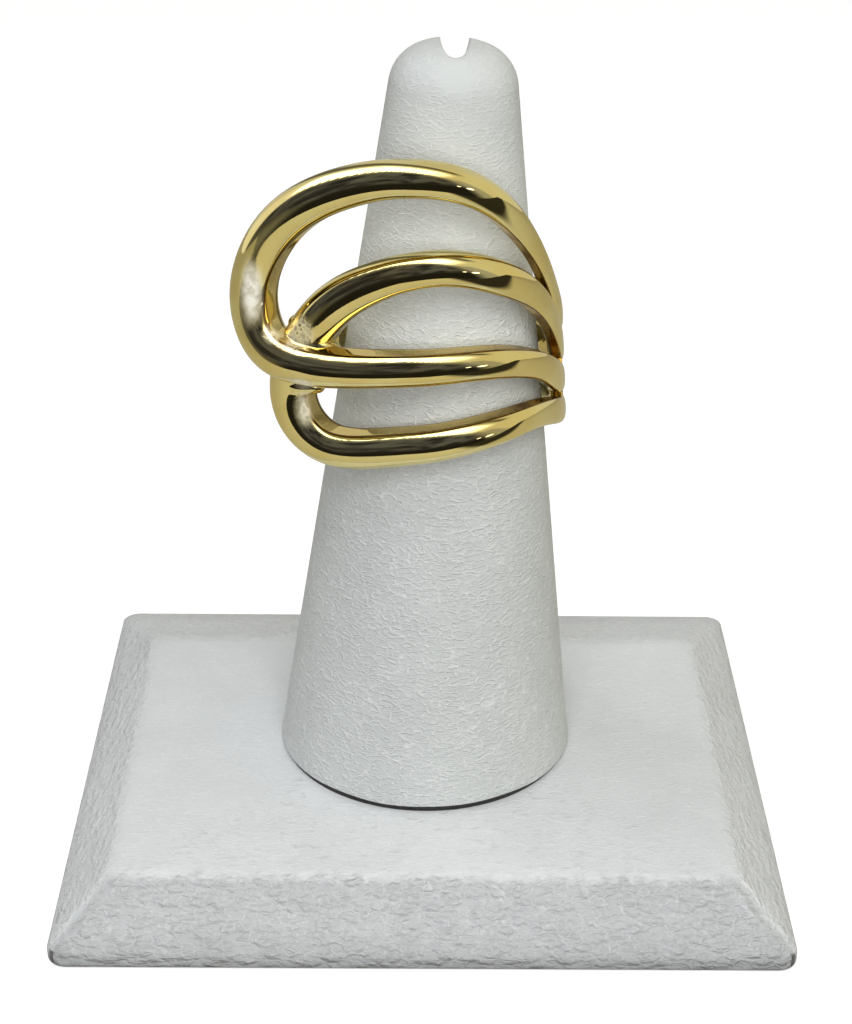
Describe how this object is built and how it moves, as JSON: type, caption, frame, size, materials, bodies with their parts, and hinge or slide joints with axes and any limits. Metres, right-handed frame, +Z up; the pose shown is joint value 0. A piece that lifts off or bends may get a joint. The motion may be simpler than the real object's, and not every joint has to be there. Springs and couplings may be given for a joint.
{
  "type": "ring on a display stand",
  "caption": "Polished gold-tone steel ring with interlaced tapering loops at the front, worn on a leatherette finger stand with a bevelled base.",
  "frame": {"origin": "centre of the base plate's underside, which rests on the table", "axes": "+Z up, +X to the right in the picture, -Y towards the picture's viewer"},
  "size_m": [0.0636, 0.0576, 0.0717],
  "materials": {
    "ring_metal": "polished",
    "leatherette": "grained, matte"
  },
  "bodies": {
    "root": {"ring": "ring_metal", "finger_cone": "leatherette", "base_plate": "leatherette"}
  },
  "joints": []
}
